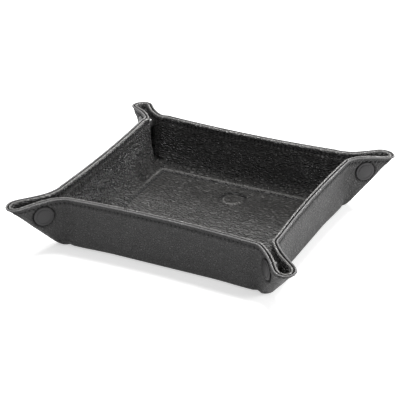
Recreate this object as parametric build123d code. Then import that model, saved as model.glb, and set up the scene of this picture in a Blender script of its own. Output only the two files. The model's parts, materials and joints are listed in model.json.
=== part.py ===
from build123d import *
import math
import os

# Valet tray: a flat leather blank whose four corners are pinched into ears and held by snaps
# Millimetres, +Z up, origin on the table under the middle of the tray

# Overall form
rim_length = 174.0
rim_width = 158.0
rim_height = 41.0
wall_angle = 82.0
bend_radius = 6.5

# Layers
leather_thickness = 1.85
leather_layers = 2
board_thickness = 0.9
board_margin_side = 5.0
board_margin_top = 7.0
board_margin_low = 2.5

# Inward bow of the rim half way along each side
bow_long_side = 3.2
bow_short_side = 2.0

# Fold lines and the clearances between leather that moves apart
crease_inset = 5.0
crease_gap = 0.15
fold_edge_gap = 0.05

# Where the flaps of an ear end and the leather that bends round its fold edge begins, as reaches
flap_end_low = 6.9
flap_end_rim = 43.9

# Ear outline: reach along the diagonal from the base corner, half widths across it,
# and the S-bend's extra half width as a share of that between the neck and the crease
ear_reach_low = 16.0
ear_reach_rim = 47.5
ear_droop = 5.0
ear_half_low = 4.7
ear_half_snap = 5.7
ear_half_neck = 6.0
ear_half_loop = 8.1
bend_half_share = 0.57

# Snap fastener: an outer cap with its rivet on either side, a socket inside one and a stud inside the other
snap_reach = 21.5
snap_height = 27.5
cap_radius = 7.2
cap_edge_height = 0.6
cap_dome_height = 0.7
cap_groove_radius = 5.4
cap_groove_width = 0.5
cap_groove_depth = 0.3
seat_depth = 0.25
seat_clearance = 0.1
rivet_radius = 1.9
rivet_clearance = 0.05
rivet_head_radius = 2.6
rivet_head_thickness = 0.4
socket_radius = 5.5
socket_reach = 0.9
socket_bore_radius = 3.3
socket_floor = 0.7
stud_flange_radius = 5.0
stud_flange_thickness = 0.7
stud_radius = 2.35
stud_head_radius = 2.6
stud_head_length = 0.7
stud_roof = 0.4
stud_reach = 0.8

# Floor details
seam_inset = 11.5
seam_width = 1.0
seam_depth = 0.4
seam_corner_radius = 4.0
base_board_gap = 1.5
disc_radius = 10.0
disc_depth = 0.5
disc_dome_height = 0.35
disc_ring_width = 0.8
disc_place_x = 4.8
disc_place_y = 36.0

# Places worked out from the sizes above
slope = math.radians(wall_angle)
fold_run = bend_radius * math.sin(slope)
fold_rise = bend_radius - bend_radius * math.cos(slope)
wall_run = (rim_height - fold_rise) / math.tan(slope)
base_half_x = rim_length / 2 - fold_run - wall_run
base_half_y = rim_width / 2 - fold_run - wall_run
floor_thickness = leather_layers * leather_thickness
board_half = board_thickness / leather_layers
diagonal = math.sqrt(2)
upright = Vector(0, 0, 1)
quarter_turn = 90.0


# Shares of the way from the start of the ear's S-bend to its round end:
# along it, from neck width to loop width, and how much of the S-bend is left
def ear_outline_share(s):
    table = (
        (0.00, 0.00, 1.00),
        (0.14, 0.00, 0.44),
        (0.30, 0.00, 0.10),
        (0.47, 0.06, 0.00),
        (0.66, 0.38, 0.00),
        (0.84, 0.82, 0.00),
    )
    return table[s]


# Levels of the ear's sections as shares of the way up the wall,
# with the shares from low width to snap width and from snap width to rim width
def ear_level_share(s):
    table = (
        (0.00, 0.00, 0.00),
        (0.36, 1.00, 0.00),
        (0.60, 1.00, 0.00),
        (0.80, 1.00, 0.10),
        (0.91, 1.00, 0.52),
        (1.00, 1.00, 1.00),
    )
    return table[s]


# Angles round the ear's end as shares of a right angle
def ear_end_share(s):
    table = (0.0, 0.27, 0.54, 0.78)
    return table[s]


outline_count = 6
end_count = 4
level_count = 6


# Place of a point near the front right corner, from its reach along the diagonal
# and its half width from the diagonal towards the front wall
def corner_place(reach, half, height):
    x = base_half_x + (reach - half) / diagonal
    y = base_half_y + (reach + half) / diagonal
    return Vector(x, -y, height)


# Outline of the front half of an ear at one level, from the crease to the tip
def ear_points(level, gap):
    rise_share, snap_share, rim_share = ear_level_share(level)
    run = fold_run + wall_run * rise_share
    tip = ear_reach_low + (ear_reach_rim - ear_reach_low) * rise_share
    held = ear_half_low + (ear_half_snap - ear_half_low) * snap_share
    neck = held + (ear_half_neck - ear_half_snap) * rim_share
    loop = held + (ear_half_loop - ear_half_snap) * rim_share
    end = tip - loop
    crease_reach = (run - crease_inset + gap) / diagonal
    crease_half = (run + crease_inset - gap) / diagonal
    extra = (crease_half - neck) * bend_half_share
    start = run * diagonal - neck - extra
    points = [(crease_reach, crease_half)]
    for s in range(outline_count):
        along, widen, bend = ear_outline_share(s)
        half = neck + (loop - neck) * widen + extra * bend
        points.append((start + (end - start) * along, half))
    for s in range(end_count):
        angle = ear_end_share(s) * math.pi / 2
        points.append((end + loop * math.sin(angle), loop * math.cos(angle)))
    points.append((tip, 0))
    return points


# The same outline moved inwards, square to itself; the crease end stays in the plane of the crease
def inset_points(points, distance):
    last = len(points) - 1
    ends = points + [(points[last - 1][0], -points[last - 1][1])]
    moved = []
    for k in range(last + 1):
        before = ends[max(k - 1, 0)]
        after = ends[k + 1]
        along = Vector(after[0] - before[0], after[1] - before[1], 0).normalized()
        moved.append((points[k][0] + along.Y * distance, points[k][1] - along.X * distance))
    slip = (moved[0][0] - moved[0][1] - points[0][0] + points[0][1]) / 2
    moved[0] = (moved[0][0] - slip, moved[0][1] + slip)
    return moved


# Height of a point of an ear's section, which leans down towards the tip
def level_height(points, level, reach):
    rise_share = ear_level_share(level)[0]
    share = (reach - points[0][0]) / (points[-1][0] - points[0][0])
    return fold_rise + (rim_height - fold_rise) * rise_share - ear_droop * rise_share * share


# Plane of the snap on the diagonal, its Z towards the front half of the ear
def snap_plane():
    towards_tip = (corner_place(1, 0, 0) - corner_place(0, 0, 0)).normalized()
    towards_front = (corner_place(0, 1, 0) - corner_place(0, 0, 0)).normalized()
    return Plane(origin=corner_place(snap_reach, 0, snap_height), x_dir=towards_tip, z_dir=towards_front)


diagonal_plane = snap_plane()


# Where each point lies along the curve at one distance inside, as shares of the middle section's length
def curve_shares(distance):
    points = inset_points(ear_points(level_count // 2, crease_gap), distance)
    lengths = [0.0]
    for k in range(len(points) - 1):
        along = points[k + 1][0] - points[k][0]
        across = points[k + 1][1] - points[k][1]
        lengths.append(lengths[-1] + math.hypot(along, across))
    return [length / lengths[-1] for length in lengths]


# Closed section of an ear at one level, between two distances inside its outer face
def ear_section(level, near, far):
    points = ear_points(level, crease_gap)
    curves = []
    for distance in (near, far):
        places = []
        for reach, half in inset_points(points, distance):
            place_half = max(half, fold_edge_gap)
            places.append(corner_place(reach, place_half, level_height(points, level, reach)))
        square_end = corner_place(0, -1, 0) - corner_place(0, 0, 0)
        tangents = [(places[1] - places[0]).normalized(), square_end.normalized()]
        curves.append(Edge.make_spline(places, tangents=tangents, parameters=curve_shares(distance)))
    tip_side = Edge.make_line(curves[0] @ 1, curves[1] @ 1)
    crease_side = Edge.make_line(curves[1] @ 0, curves[0] @ 0)
    return Wire([curves[0], tip_side, curves[1], crease_side])


# Whole leather layer of the front half of an ear, up to a clearance before the diagonal
def ear_layer(near, far):
    whole = Solid.make_loft([ear_section(level, near, far) for level in range(level_count)])
    behind = Box(rim_length, rim_length, rim_width, align=(Align.CENTER, Align.CENTER, Align.MAX))
    return whole - diagonal_plane * Pos(0, 0, fold_edge_gap) * behind


# Room beyond the line where the flaps end, which rises with the fold edge
def beyond_flap():
    reach = flap_end_low - snap_reach
    height = fold_rise - snap_height
    rise = rim_height - ear_droop - fold_rise
    lean = math.degrees(math.atan2(rise, flap_end_rim - flap_end_low))
    room = Box(rim_length, rim_length, rim_width, align=(Align.CENTER, Align.MAX, Align.CENTER))
    return diagonal_plane * Pos(reach, height, 0) * Rot(0, 0, lean) * room


# Across-section of a front wall between two distances inside its outer face
def wall_section(place, half_width, near, far, bow):
    foot = half_width + fold_run
    head = foot + wall_run - bow
    near_level = near / math.sin(slope)
    far_level = far / math.sin(slope)
    corners = (
        Vector(place, near_level - foot, fold_rise),
        Vector(place, near_level - head, rim_height),
        Vector(place, far_level - head, rim_height),
        Vector(place, far_level - foot, fold_rise),
    )
    return Wire.make_polygon(corners, close=True)


def wall_layer(half_length, half_width, near, far, bow_depth, end_margin):
    span = half_length - crease_inset
    reach = span - end_margin
    sections = []
    for share in (-1.0, -0.5, 0.0, 0.5, 1.0):
        place = share * reach
        depth = bow_depth * (1 - (place / span) ** 2)
        sections.append(wall_section(place, half_width, near, far, depth))
    return Solid.make_loft(sections)


# Stiffening board of a wall, short of the wall's ends, its rim and its bend
def wall_board(half_length, half_width, bow_depth):
    near = leather_thickness - board_half
    far = leather_thickness + board_half
    board = wall_layer(half_length, half_width, near, far, bow_depth, board_margin_side)
    low = fold_rise + board_margin_low
    high = rim_height - board_margin_top
    keep = Box(rim_length, rim_length, high - low, align=(Align.CENTER, Align.CENTER, Align.MIN))
    return board & (Pos(0, 0, low) * keep)


# Section of a bend from a place on the edge of the floor up to a place at the foot of a wall
def bend_section(foot, crown, near, far, lean):
    flat = Vector(crown.X - foot.X, crown.Y - foot.Y, 0).normalized()
    steep = flat * math.cos(lean) + upright * math.sin(lean)
    curves = []
    for distance in (near, far):
        low = foot + upright * distance
        high = crown - flat * (distance / math.sin(slope))
        curves.append(Edge.make_spline([low, high], tangents=[flat, steep]))
    top = Edge.make_line(curves[0] @ 1, curves[1] @ 1)
    bottom = Edge.make_line(curves[1] @ 0, curves[0] @ 0)
    return Wire([curves[0], top, curves[1], bottom])


def straight_bend(half_length, half_width, near, far):
    span = half_length - crease_inset
    sections = []
    for place in (-span, span):
        foot = Vector(place, -half_width, 0)
        crown = Vector(place, -half_width - fold_run, fold_rise)
        sections.append(bend_section(foot, crown, near, far, slope))
    return Solid.make_loft(sections, ruled=True)


# Bend round the front half of the front right corner, from the crease to the diagonal
def corner_bend(near, far):
    points = ear_points(0, 0)
    lean_end = math.atan2(rim_height - ear_droop - fold_rise, ear_reach_rim - ear_reach_low)
    start = corner_place(-crease_inset / diagonal, crease_inset / diagonal, 0)
    middle = corner_place(-crease_inset / diagonal, 0, 0)
    sections = []
    last = len(points) - 1
    for k in range(last + 1):
        share = k / last
        foot = start + (middle - start) * share
        crown = corner_place(points[k][0], points[k][1], fold_rise)
        lean = slope + (lean_end - slope) * share
        sections.append(bend_section(foot, crown, near, far, lean))
    return Solid.make_loft(sections)


# Floor plate with its corners cut off square to the diagonals
def floor_plate(low, high):
    long_side = base_half_x - crease_inset
    wide_side = base_half_y - crease_inset
    corners = (
        (long_side, -base_half_y),
        (base_half_x, -wide_side),
        (base_half_x, wide_side),
        (long_side, base_half_y),
        (-long_side, base_half_y),
        (-base_half_x, wide_side),
        (-base_half_x, -wide_side),
        (-long_side, -base_half_y),
    )
    outline = make_face(Polyline(*corners, close=True))
    return extrude(Pos(0, 0, low) * outline, high - low)


def base_board():
    inset = seam_inset + base_board_gap
    length = base_half_x - inset
    width = base_half_y - inset
    sheet = make_face(Polyline((-length, -width), (length, -width), (length, width), (-length, width), close=True))
    return extrude(Pos(0, 0, leather_thickness - board_half) * sheet, board_thickness)


def drum(radius, low, high):
    return Pos(0, 0, low) * Cylinder(radius, high - low, align=(Align.CENTER, Align.CENTER, Align.MIN))


# Round plate with a shallow dome of a given height on its upper face
def domed_drum(radius, low, edge, dome_height):
    sphere_radius = (radius**2 + dome_height**2) / (dome_height + dome_height)
    ball = Pos(0, 0, edge + dome_height - sphere_radius) * Rot(quarter_turn, 0, 0) * Sphere(sphere_radius)
    return drum(radius, low, edge + dome_height) & ball


# Stitched seam pressed into the floor, and the bare round pressing near the back wall
def floor_seam():
    length = (base_half_x - seam_inset) + (base_half_x - seam_inset)
    width = (base_half_y - seam_inset) + (base_half_y - seam_inset)
    outer = RectangleRounded(length + seam_width, width + seam_width, seam_corner_radius)
    inner = RectangleRounded(length - seam_width, width - seam_width, seam_corner_radius - seam_width)
    return extrude(Pos(0, 0, floor_thickness - seam_depth) * (outer - inner), seam_depth)


def floor_disc():
    low = floor_thickness - disc_depth
    island_radius = disc_radius - disc_ring_width
    edge = floor_thickness - disc_dome_height
    well = drum(disc_radius, low, floor_thickness)
    island = domed_drum(island_radius, low, edge, disc_dome_height)
    return Pos(disc_place_x, disc_place_y, 0) * (well - island)


# Snap pieces drawn along Z, with the diagonal at zero and the outer leather face at the ear's half width
cap_seat = ear_half_snap - seat_depth
inner_face = ear_half_snap - floor_thickness
inner_seat = inner_face + seat_depth


def snap_cap(rivet_end, head_radius, head_thickness):
    edge = ear_half_snap + cap_edge_height
    crown = edge + cap_dome_height
    body = domed_drum(cap_radius, cap_seat, edge, cap_dome_height)
    ring_out = cap_groove_radius + cap_groove_width / 2
    ring_in = cap_groove_radius - cap_groove_width / 2
    ring_low = edge + cap_dome_height / 2 - cap_groove_depth
    groove = drum(ring_out, ring_low, crown) - drum(ring_in, ring_low, crown)
    rivet = drum(rivet_radius, rivet_end, cap_seat)
    cap = body - groove + rivet
    if head_thickness > 0:
        cap = cap + drum(head_radius, rivet_end, rivet_end + head_thickness)
    return cap


def snap_socket():
    floor = inner_seat - socket_floor
    body = drum(socket_radius, -socket_reach, inner_seat)
    bore = drum(socket_bore_radius, -socket_reach, floor)
    hole = drum(rivet_radius + rivet_clearance, floor, inner_seat)
    return body - bore - hole


def snap_stud():
    flange_top = inner_seat - stud_flange_thickness
    flange = drum(stud_flange_radius, flange_top, inner_seat)
    post = drum(stud_radius, -stud_reach, flange_top)
    head = drum(stud_head_radius, -stud_reach, stud_head_length - stud_reach)
    hollow = drum(rivet_radius + rivet_clearance, stud_roof - stud_reach, inner_seat)
    return flange + post + head - hollow


# Room for a snap in the leather: the rivet's hole, the cap's seat and the seat of the inner piece
def snap_room(inner_radius):
    hole = drum(rivet_radius + rivet_clearance, 0, ear_half_snap)
    seat = drum(cap_radius + seat_clearance, cap_seat, ear_half_snap + ear_half_snap)
    inner = drum(inner_radius + seat_clearance, 0, inner_seat)
    return hole + seat + inner


parts = {}
board = base_board()
parts["base_board"] = board
parts["base_outer"] = floor_plate(0, leather_thickness) - board
parts["base_lining"] = floor_plate(leather_thickness, floor_thickness) - board - floor_seam() - floor_disc()

# Walls: each side is drawn as the front one and turned into place
sides = (
    ("front", base_half_x, base_half_y, bow_long_side, 0),
    ("right", base_half_y, base_half_x, bow_short_side, 1),
    ("back", base_half_x, base_half_y, bow_long_side, 2),
    ("left", base_half_y, base_half_x, bow_short_side, 3),
)
layers = (("outer", 0, leather_thickness), ("lining", leather_thickness, floor_thickness))
for name, half_length, half_width, bow, turns in sides:
    turn = Rot(0, 0, quarter_turn * turns)
    board = wall_board(half_length, half_width, bow)
    parts["wall_" + name + "_board"] = turn * board
    for layer, near, far in layers:
        wall = wall_layer(half_length, half_width, near, far, bow, crease_gap)
        parts["wall_" + name + "_" + layer] = turn * (wall - board)

# Corner pieces: drawn at the front right, mirrored across the diagonal and to the other corners
front_half = {}
side_half = {}
for layer, near, far in layers:
    whole = ear_layer(near, far)
    ear = whole - beyond_flap()
    front_half["fold_" + layer] = whole & beyond_flap()
    side_half["fold_" + layer] = front_half["fold_" + layer].mirror(diagonal_plane)
    front_half[layer] = ear - diagonal_plane * snap_room(socket_radius)
    side_half[layer] = (ear - diagonal_plane * snap_room(stud_flange_radius)).mirror(diagonal_plane)
    front_half["bend_" + layer] = corner_bend(near, far)
    side_half["bend_" + layer] = front_half["bend_" + layer].mirror(diagonal_plane)
rivet_end = inner_seat - socket_floor - rivet_head_thickness
front_half["socket_cap"] = diagonal_plane * snap_cap(rivet_end, rivet_head_radius, rivet_head_thickness)
front_half["socket"] = diagonal_plane * snap_socket()
stud_rivet_end = stud_roof - stud_reach + rivet_clearance
side_half["stud_cap"] = (diagonal_plane * snap_cap(stud_rivet_end, 0, 0)).mirror(diagonal_plane)
side_half["stud"] = (diagonal_plane * snap_stud()).mirror(diagonal_plane)

corners = (
    ("front_right", "front", "right", ()),
    ("back_right", "back", "right", (Plane.XZ,)),
    ("back_left", "back", "left", (Plane.XZ, Plane.YZ)),
    ("front_left", "front", "left", (Plane.YZ,)),
)
joined = {}
for name, half_length, half_width, bow, turns in sides:
    for layer, near, far in layers:
        strip = Rot(0, 0, quarter_turn * turns) * straight_bend(half_length, half_width, near, far)
        joined["bend_" + name + "_" + layer] = [strip]
for corner, long_side, short_side, planes in corners:
    fold = "ear_" + corner + "_fold"
    joined[fold] = []
    for half, side in ((front_half, long_side), (side_half, short_side)):
        for key, shape in half.items():
            for plane in planes:
                shape = shape.mirror(plane)
            if key.startswith("bend_"):
                joined["bend_" + side + key[len("bend") :]].append(shape)
            elif key.startswith("fold_"):
                joined[fold].append(shape)
            elif key in ("outer", "lining"):
                parts["ear_" + corner + "_" + side + "_" + key] = shape
            else:
                parts["snap_" + corner + "_" + key] = shape
for name, pieces in joined.items():
    parts[name] = Compound(children=pieces)

os.makedirs("parts", exist_ok=True)
for name, shape in parts.items():
    export_step(shape, "parts/" + name + ".step")
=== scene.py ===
import json
import math
from collections import namedtuple

import bpy
from bpy.props import FloatProperty, FloatVectorProperty, PointerProperty
from mathutils import Matrix, Vector, noise
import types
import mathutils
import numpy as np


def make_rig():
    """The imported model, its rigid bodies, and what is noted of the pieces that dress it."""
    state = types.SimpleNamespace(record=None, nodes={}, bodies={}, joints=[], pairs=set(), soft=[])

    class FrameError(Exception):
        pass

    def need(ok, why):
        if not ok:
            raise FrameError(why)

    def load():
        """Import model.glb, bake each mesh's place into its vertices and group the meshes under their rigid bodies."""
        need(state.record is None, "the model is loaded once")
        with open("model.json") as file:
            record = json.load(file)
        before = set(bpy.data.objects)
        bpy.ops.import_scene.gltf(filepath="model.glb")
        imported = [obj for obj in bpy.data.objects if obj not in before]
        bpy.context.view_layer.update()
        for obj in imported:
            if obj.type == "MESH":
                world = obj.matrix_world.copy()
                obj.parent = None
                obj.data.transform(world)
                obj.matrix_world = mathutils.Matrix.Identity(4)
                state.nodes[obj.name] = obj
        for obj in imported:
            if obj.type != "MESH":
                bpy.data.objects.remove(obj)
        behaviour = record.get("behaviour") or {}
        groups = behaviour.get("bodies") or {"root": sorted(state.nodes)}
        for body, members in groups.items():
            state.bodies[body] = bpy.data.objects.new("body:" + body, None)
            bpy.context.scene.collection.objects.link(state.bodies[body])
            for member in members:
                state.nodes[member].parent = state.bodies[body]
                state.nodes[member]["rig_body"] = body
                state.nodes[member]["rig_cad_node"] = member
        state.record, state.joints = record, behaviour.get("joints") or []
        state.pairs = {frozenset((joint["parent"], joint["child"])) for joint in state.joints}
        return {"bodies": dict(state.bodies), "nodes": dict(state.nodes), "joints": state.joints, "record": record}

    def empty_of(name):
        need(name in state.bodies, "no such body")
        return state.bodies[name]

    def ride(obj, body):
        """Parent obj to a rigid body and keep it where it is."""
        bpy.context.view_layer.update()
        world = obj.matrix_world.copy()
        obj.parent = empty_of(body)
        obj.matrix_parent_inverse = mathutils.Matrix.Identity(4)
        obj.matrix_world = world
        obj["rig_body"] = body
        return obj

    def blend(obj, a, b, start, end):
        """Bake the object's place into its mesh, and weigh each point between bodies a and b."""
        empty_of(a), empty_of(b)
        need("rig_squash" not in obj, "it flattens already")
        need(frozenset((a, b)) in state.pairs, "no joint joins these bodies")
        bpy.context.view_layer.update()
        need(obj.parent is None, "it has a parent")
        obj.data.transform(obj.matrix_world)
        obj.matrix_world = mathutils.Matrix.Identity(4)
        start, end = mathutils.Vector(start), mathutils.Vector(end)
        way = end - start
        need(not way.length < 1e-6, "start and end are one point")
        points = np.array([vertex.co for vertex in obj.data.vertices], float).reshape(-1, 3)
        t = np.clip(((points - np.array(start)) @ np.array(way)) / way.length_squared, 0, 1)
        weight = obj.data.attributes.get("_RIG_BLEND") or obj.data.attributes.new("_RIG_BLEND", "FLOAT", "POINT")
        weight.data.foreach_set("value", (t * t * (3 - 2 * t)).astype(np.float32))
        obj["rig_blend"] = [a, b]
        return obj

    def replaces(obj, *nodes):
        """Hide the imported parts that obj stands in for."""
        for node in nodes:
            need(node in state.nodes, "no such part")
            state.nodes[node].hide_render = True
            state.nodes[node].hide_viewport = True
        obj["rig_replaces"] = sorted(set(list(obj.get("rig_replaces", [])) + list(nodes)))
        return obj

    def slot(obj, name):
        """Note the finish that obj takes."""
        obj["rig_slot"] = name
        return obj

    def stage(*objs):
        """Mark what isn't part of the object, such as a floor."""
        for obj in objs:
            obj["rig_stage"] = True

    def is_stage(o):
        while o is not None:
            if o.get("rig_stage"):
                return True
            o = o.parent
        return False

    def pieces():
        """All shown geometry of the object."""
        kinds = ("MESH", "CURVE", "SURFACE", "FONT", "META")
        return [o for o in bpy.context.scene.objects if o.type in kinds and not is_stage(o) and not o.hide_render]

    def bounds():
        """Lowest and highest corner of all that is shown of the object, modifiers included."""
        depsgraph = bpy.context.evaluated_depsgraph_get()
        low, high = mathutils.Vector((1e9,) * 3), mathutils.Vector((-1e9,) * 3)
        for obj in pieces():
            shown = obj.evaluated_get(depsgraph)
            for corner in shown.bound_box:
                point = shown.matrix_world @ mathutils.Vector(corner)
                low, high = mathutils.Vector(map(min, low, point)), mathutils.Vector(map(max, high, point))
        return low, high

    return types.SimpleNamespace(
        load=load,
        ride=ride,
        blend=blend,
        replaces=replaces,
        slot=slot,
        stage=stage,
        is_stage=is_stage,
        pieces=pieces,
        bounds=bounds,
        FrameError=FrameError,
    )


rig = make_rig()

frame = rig.load()
cad_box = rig.bounds()

bl_info = {
    "name": "Leather Valet Tray",
    "version": (1, 0, 0),
    "blender": (4, 5, 0),
    "location": "3D View > Sidebar > Tray",
    "description": "Builds a leather valet tray with snapped corner ears, stitching, finishes and stage",
    "category": "Object",
}

SIDES = ("front", "right", "back", "left")
CORNERS = {
    "front_right": ("front", "right", 1, -1),
    "back_right": ("back", "right", 1, 1),
    "back_left": ("back", "left", -1, 1),
    "front_left": ("front", "left", -1, -1),
}
ROOT2 = math.sqrt(2.0)


def length_property(name, description, default):
    return FloatProperty(name=name, description=description, default=default, unit="LENGTH", precision=5)


def angle_property(name, description, degrees):
    return FloatProperty(name=name, description=description, default=math.radians(degrees), subtype="ANGLE")


def share_property(name, description, default):
    return FloatProperty(name=name, description=description, default=default, min=0.0, max=1.0)


def colour_property(name, description, default):
    return FloatVectorProperty(name=name, description=description, default=default, size=3, subtype="COLOR")


class TrayFormSettings(bpy.types.PropertyGroup):
    rim_length: length_property("Rim length", "Outer length of the rim", 0.174)
    rim_width: length_property("Rim width", "Outer width of the rim", 0.158)
    rim_height: length_property("Rim height", "Height of the rim over the table", 0.041)
    wall_angle: angle_property("Wall angle", "Lean of the walls", 82)
    bend_radius: length_property("Bend radius", "Outer radius at the foot of the walls", 0.0065)
    thickness: length_property("Thickness", "Outer leather and lining together", 0.0037)
    bow_long: length_property("Long side bow", "Inward bow of the long sides' rim", 0.0032)
    bow_short: length_property("Short side bow", "Inward bow of the short sides' rim", 0.002)
    crease: length_property("Crease inset", "Distance from a corner to its ear's crease", 0.005)
    reach_low: length_property("Ear reach low", "Reach of an ear's fold edge at its foot", 0.016)
    reach_rim: length_property("Ear reach rim", "Reach of an ear's fold edge at the rim", 0.0475)
    droop: length_property("Ear droop", "How far an ear's tip hangs under the rim", 0.005)
    half_low: length_property("Ear half low", "Half width of an ear at its foot", 0.0047)
    half_snap: length_property("Ear half at snap", "Half width of an ear at its snap", 0.0057)
    half_neck: length_property("Ear half neck", "Half width of an ear's neck at the rim", 0.006)
    half_loop: length_property("Ear half loop", "Half width of an ear's loop at the rim", 0.0081)
    flare_low: share_property("Flare low", "Share of the width from neck to crease at an ear's foot", 0.57)
    flare_rim: share_property("Flare rim", "The same share at the rim of the front and back corners", 0.26)
    flare_wide: share_property("Flare wide", "The same share at the rim of the left and right corners", 0.78)
    foot_flare: length_property("Foot flare", "How far a wall's foot stands out at its ends", 0.0018)
    lining_in: length_property("Lining in", "How far the lining comes in at a wall's foot", 0.0016)
    lining_up: length_property("Lining up", "How far the lining's bend tops the outer one", 0.0022)
    snap_reach: length_property("Snap reach", "Reach of the snaps from the base corner", 0.0215)
    snap_height: length_property("Snap height", "Height of the snaps", 0.0275)
    cap_radius: length_property("Cap radius", "Radius of the snap caps", 0.0072)


class TrayStitchSettings(bpy.types.PropertyGroup):
    pitch: length_property("Pitch", "Distance from one stitch to the next", 0.0032)
    length: length_property("Length", "Length of one stitch", 0.0023)
    width: length_property("Width", "Width of the thread", 0.00070)
    below_rim: length_property("Below the rim", "Distance of the stitches from the rim", 0.0036)
    sink: length_property("Sink", "Depth of the pressed stitching line", 0.00045)


class TrayFloorSettings(bpy.types.PropertyGroup):
    seam_inset: length_property("Seam inset", "Distance from the floor's edge to its seam", 0.0115)
    seam_corner: length_property("Seam corner", "Radius of the seam's corners", 0.0012)
    disc_x: length_property("Pressing X", "Place of the round pressing along X", 0.0048)
    disc_y: length_property("Pressing Y", "Place of the round pressing along Y", 0.036)
    disc_radius: length_property("Pressing radius", "Radius of the round pressing", 0.010)
    disc_depth: length_property("Pressing depth", "Depth of the round pressing", 0.0011)
    strip_rise: length_property("Strip rise", "Rise of the lining from the seam to the walls", 0.0022)
    ridge: length_property("Seam ridge", "Height of the ridge beside the seam", 0.0008)


class TrayFinishSettings(bpy.types.PropertyGroup):
    outer_colour: colour_property("Outer leather", "Colour of the outer leather", (0.052, 0.051, 0.051))
    lining_colour: colour_property("Lining leather", "Colour of the walls' lining", (0.078, 0.076, 0.074))
    floor_colour: colour_property("Floor leather", "Colour of the floor's lining", (0.125, 0.122, 0.118))
    thread_colour: colour_property("Thread", "Colour of the stitching", (0.018, 0.018, 0.019))
    cap_colour: colour_property("Snap cap", "Colour of the painted caps", (0.017, 0.016, 0.017))
    metal_colour: colour_property("Snap metal", "Colour of the darkened snap metal", (0.10, 0.10, 0.10))
    board_colour: colour_property("Board", "Colour of the stiffening boards", (0.35, 0.27, 0.18))
    grain: length_property("Grain", "Width of one pebble of the grain", 0.0012)


class TrayStageSettings(bpy.types.PropertyGroup):
    azimuth: angle_property("Azimuth", "Camera turn from the front", 26.0)
    elevation: angle_property("Elevation", "Camera height angle", 27.95)
    roll: angle_property("Roll", "Camera roll", -0.2)
    distance: length_property("Distance", "Camera distance from its aim", 1.147)
    aim_x: length_property("Aim X", "Where the camera points along X", -0.00245)
    aim_y: length_property("Aim Y", "Where the camera points along Y", -0.00537)
    aim_z: length_property("Aim Z", "Where the camera points along Z", 0.021)
    lens: FloatProperty(name="Lens", description="Focal length in millimetres", default=140.2)


def smooth_step(value, low, high):
    share = min(max((value - low) / (high - low), 0.0), 1.0)
    return share * share * (3.0 - 2.0 * share)


def hump(value, centre, width):
    return math.exp(-(((value - centre) / width) ** 2))


def through(table, value):
    """Smooth curve through a table of (place, value) rows, flat where the rows are flat."""
    last = len(table) - 1
    if value <= table[0][0]:
        return table[0][1]
    if value >= table[last][0]:
        return table[last][1]
    k = 0
    while table[k + 1][0] < value:
        k += 1

    def steepness(n):
        if n in (0, last):
            m = 1 if n == 0 else last
            return (table[m][1] - table[m - 1][1]) / (table[m][0] - table[m - 1][0])
        before = (table[n][1] - table[n - 1][1]) / (table[n][0] - table[n - 1][0])
        after = (table[n + 1][1] - table[n][1]) / (table[n + 1][0] - table[n][0])
        return 0.0 if before * after <= 0 else 2 * before * after / (before + after)

    width = table[k + 1][0] - table[k][0]
    s = (value - table[k][0]) / width
    low = (1 + 2 * s) * (1 - s) ** 2 * table[k][1] + s * (1 - s) ** 2 * width * steepness(k)
    return low + s * s * (3 - 2 * s) * table[k + 1][1] - s * s * (1 - s) * width * steepness(k + 1)


# Rows of height share up an ear and share of the change from its foot's width to its width at the snap
SNAP_SHARE = ((0.0, 0.0), (0.36, 1.0), (1.0, 1.0))
# Rows of height share up an ear and share of the change from its width at the snap to its width at the rim
RIM_SHARE = ((0.0, 0.0), (0.60, 0.0), (0.80, 0.10), (0.91, 0.52), (1.0, 1.0))
# Rows of shares along an ear, from its neck's to its loop's width, and of its flare at the crease
OUTLINE = (
    (0.00, 0.00, 1.00),
    (0.14, 0.00, 0.44),
    (0.30, 0.00, 0.10),
    (0.47, 0.06, 0.00),
    (0.66, 0.38, 0.00),
    (0.84, 0.82, 0.00),
)
# Shares of the quarter turn round the loop at an ear's tip
END_TURNS = (0.0, 0.27, 0.54, 0.78)
OUTLINE_STEPS = 24
# Depth from its face and height over the rim of places round a turned edge, and of the groove's floor
EDGE_PROFILE = (
    (0.00000, -0.00100),
    (0.00006, -0.00055),
    (0.00022, -0.00020),
    (0.00052, -0.00002),
    (0.00090, -0.00004),
    (0.00116, -0.00022),
    (0.00132, -0.00062),
    (0.00138, -0.00150),
)
GROOVE_LIFT = -0.00210

# Half width of the pressed stitching line and of its band of painted shade, and the share of both that the holes add
LINE_SPREAD = 0.0008
SHADE_SPREAD = 0.0009
HOLE_SHARE = 0.45
# Height and spread of the roll of leather between the stitches and the rim
ROLL_HEIGHT, ROLL_SPREAD = 0.00022, 0.0011
# Height of the puckers between the stitches, and their place and spread under and over the line
PUCKER_HEIGHT = 0.00045
UNDER_PUCKER, UNDER_SPREAD = 0.0021, 0.0020
OVER_PUCKER, OVER_SPREAD, OVER_SHARE = 0.0013, 0.0008, 0.6
# Height, place under the line and spread of the swell under the stitching
SWELL_HEIGHT, SWELL_PLACE, SWELL_SPREAD = 0.00030, 0.0026, 0.0018
# Place under the line and spread of the painted highlights on the crests, and how bright they are inside and outside
CREST_PLACE, CREST_SPREAD = 0.0024, 0.0017
LINING_SHINE, OUTER_SHINE = 0.35, 0.14

# How the lining's rise to the walls steepens, and the shares of a wall's height that its feet take up
STRIP_POWER = 1.6
FLARE_SHARE, SOFT_SHARE = 0.6, 0.3
# Length of wall, from its end, and share of an ear over which the flare of the foot fades
FLARE_FADE, EAR_FLARE_FADE = 0.034, 0.6
# Reach of the bend's curve on the outside, inside and at the middle of a corner, as shares of its chord
OUTER_REACH, LINING_REACH, CORNER_LOSS = 0.62, 0.38, 0.14
# Waves per metre and heights of the slow unevenness of the leather
UNEVEN_WAVES, UNEVEN_HEIGHT = 38.0, 0.00042
FINER, FINER_HEIGHT = 3.1, 0.00016
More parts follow.
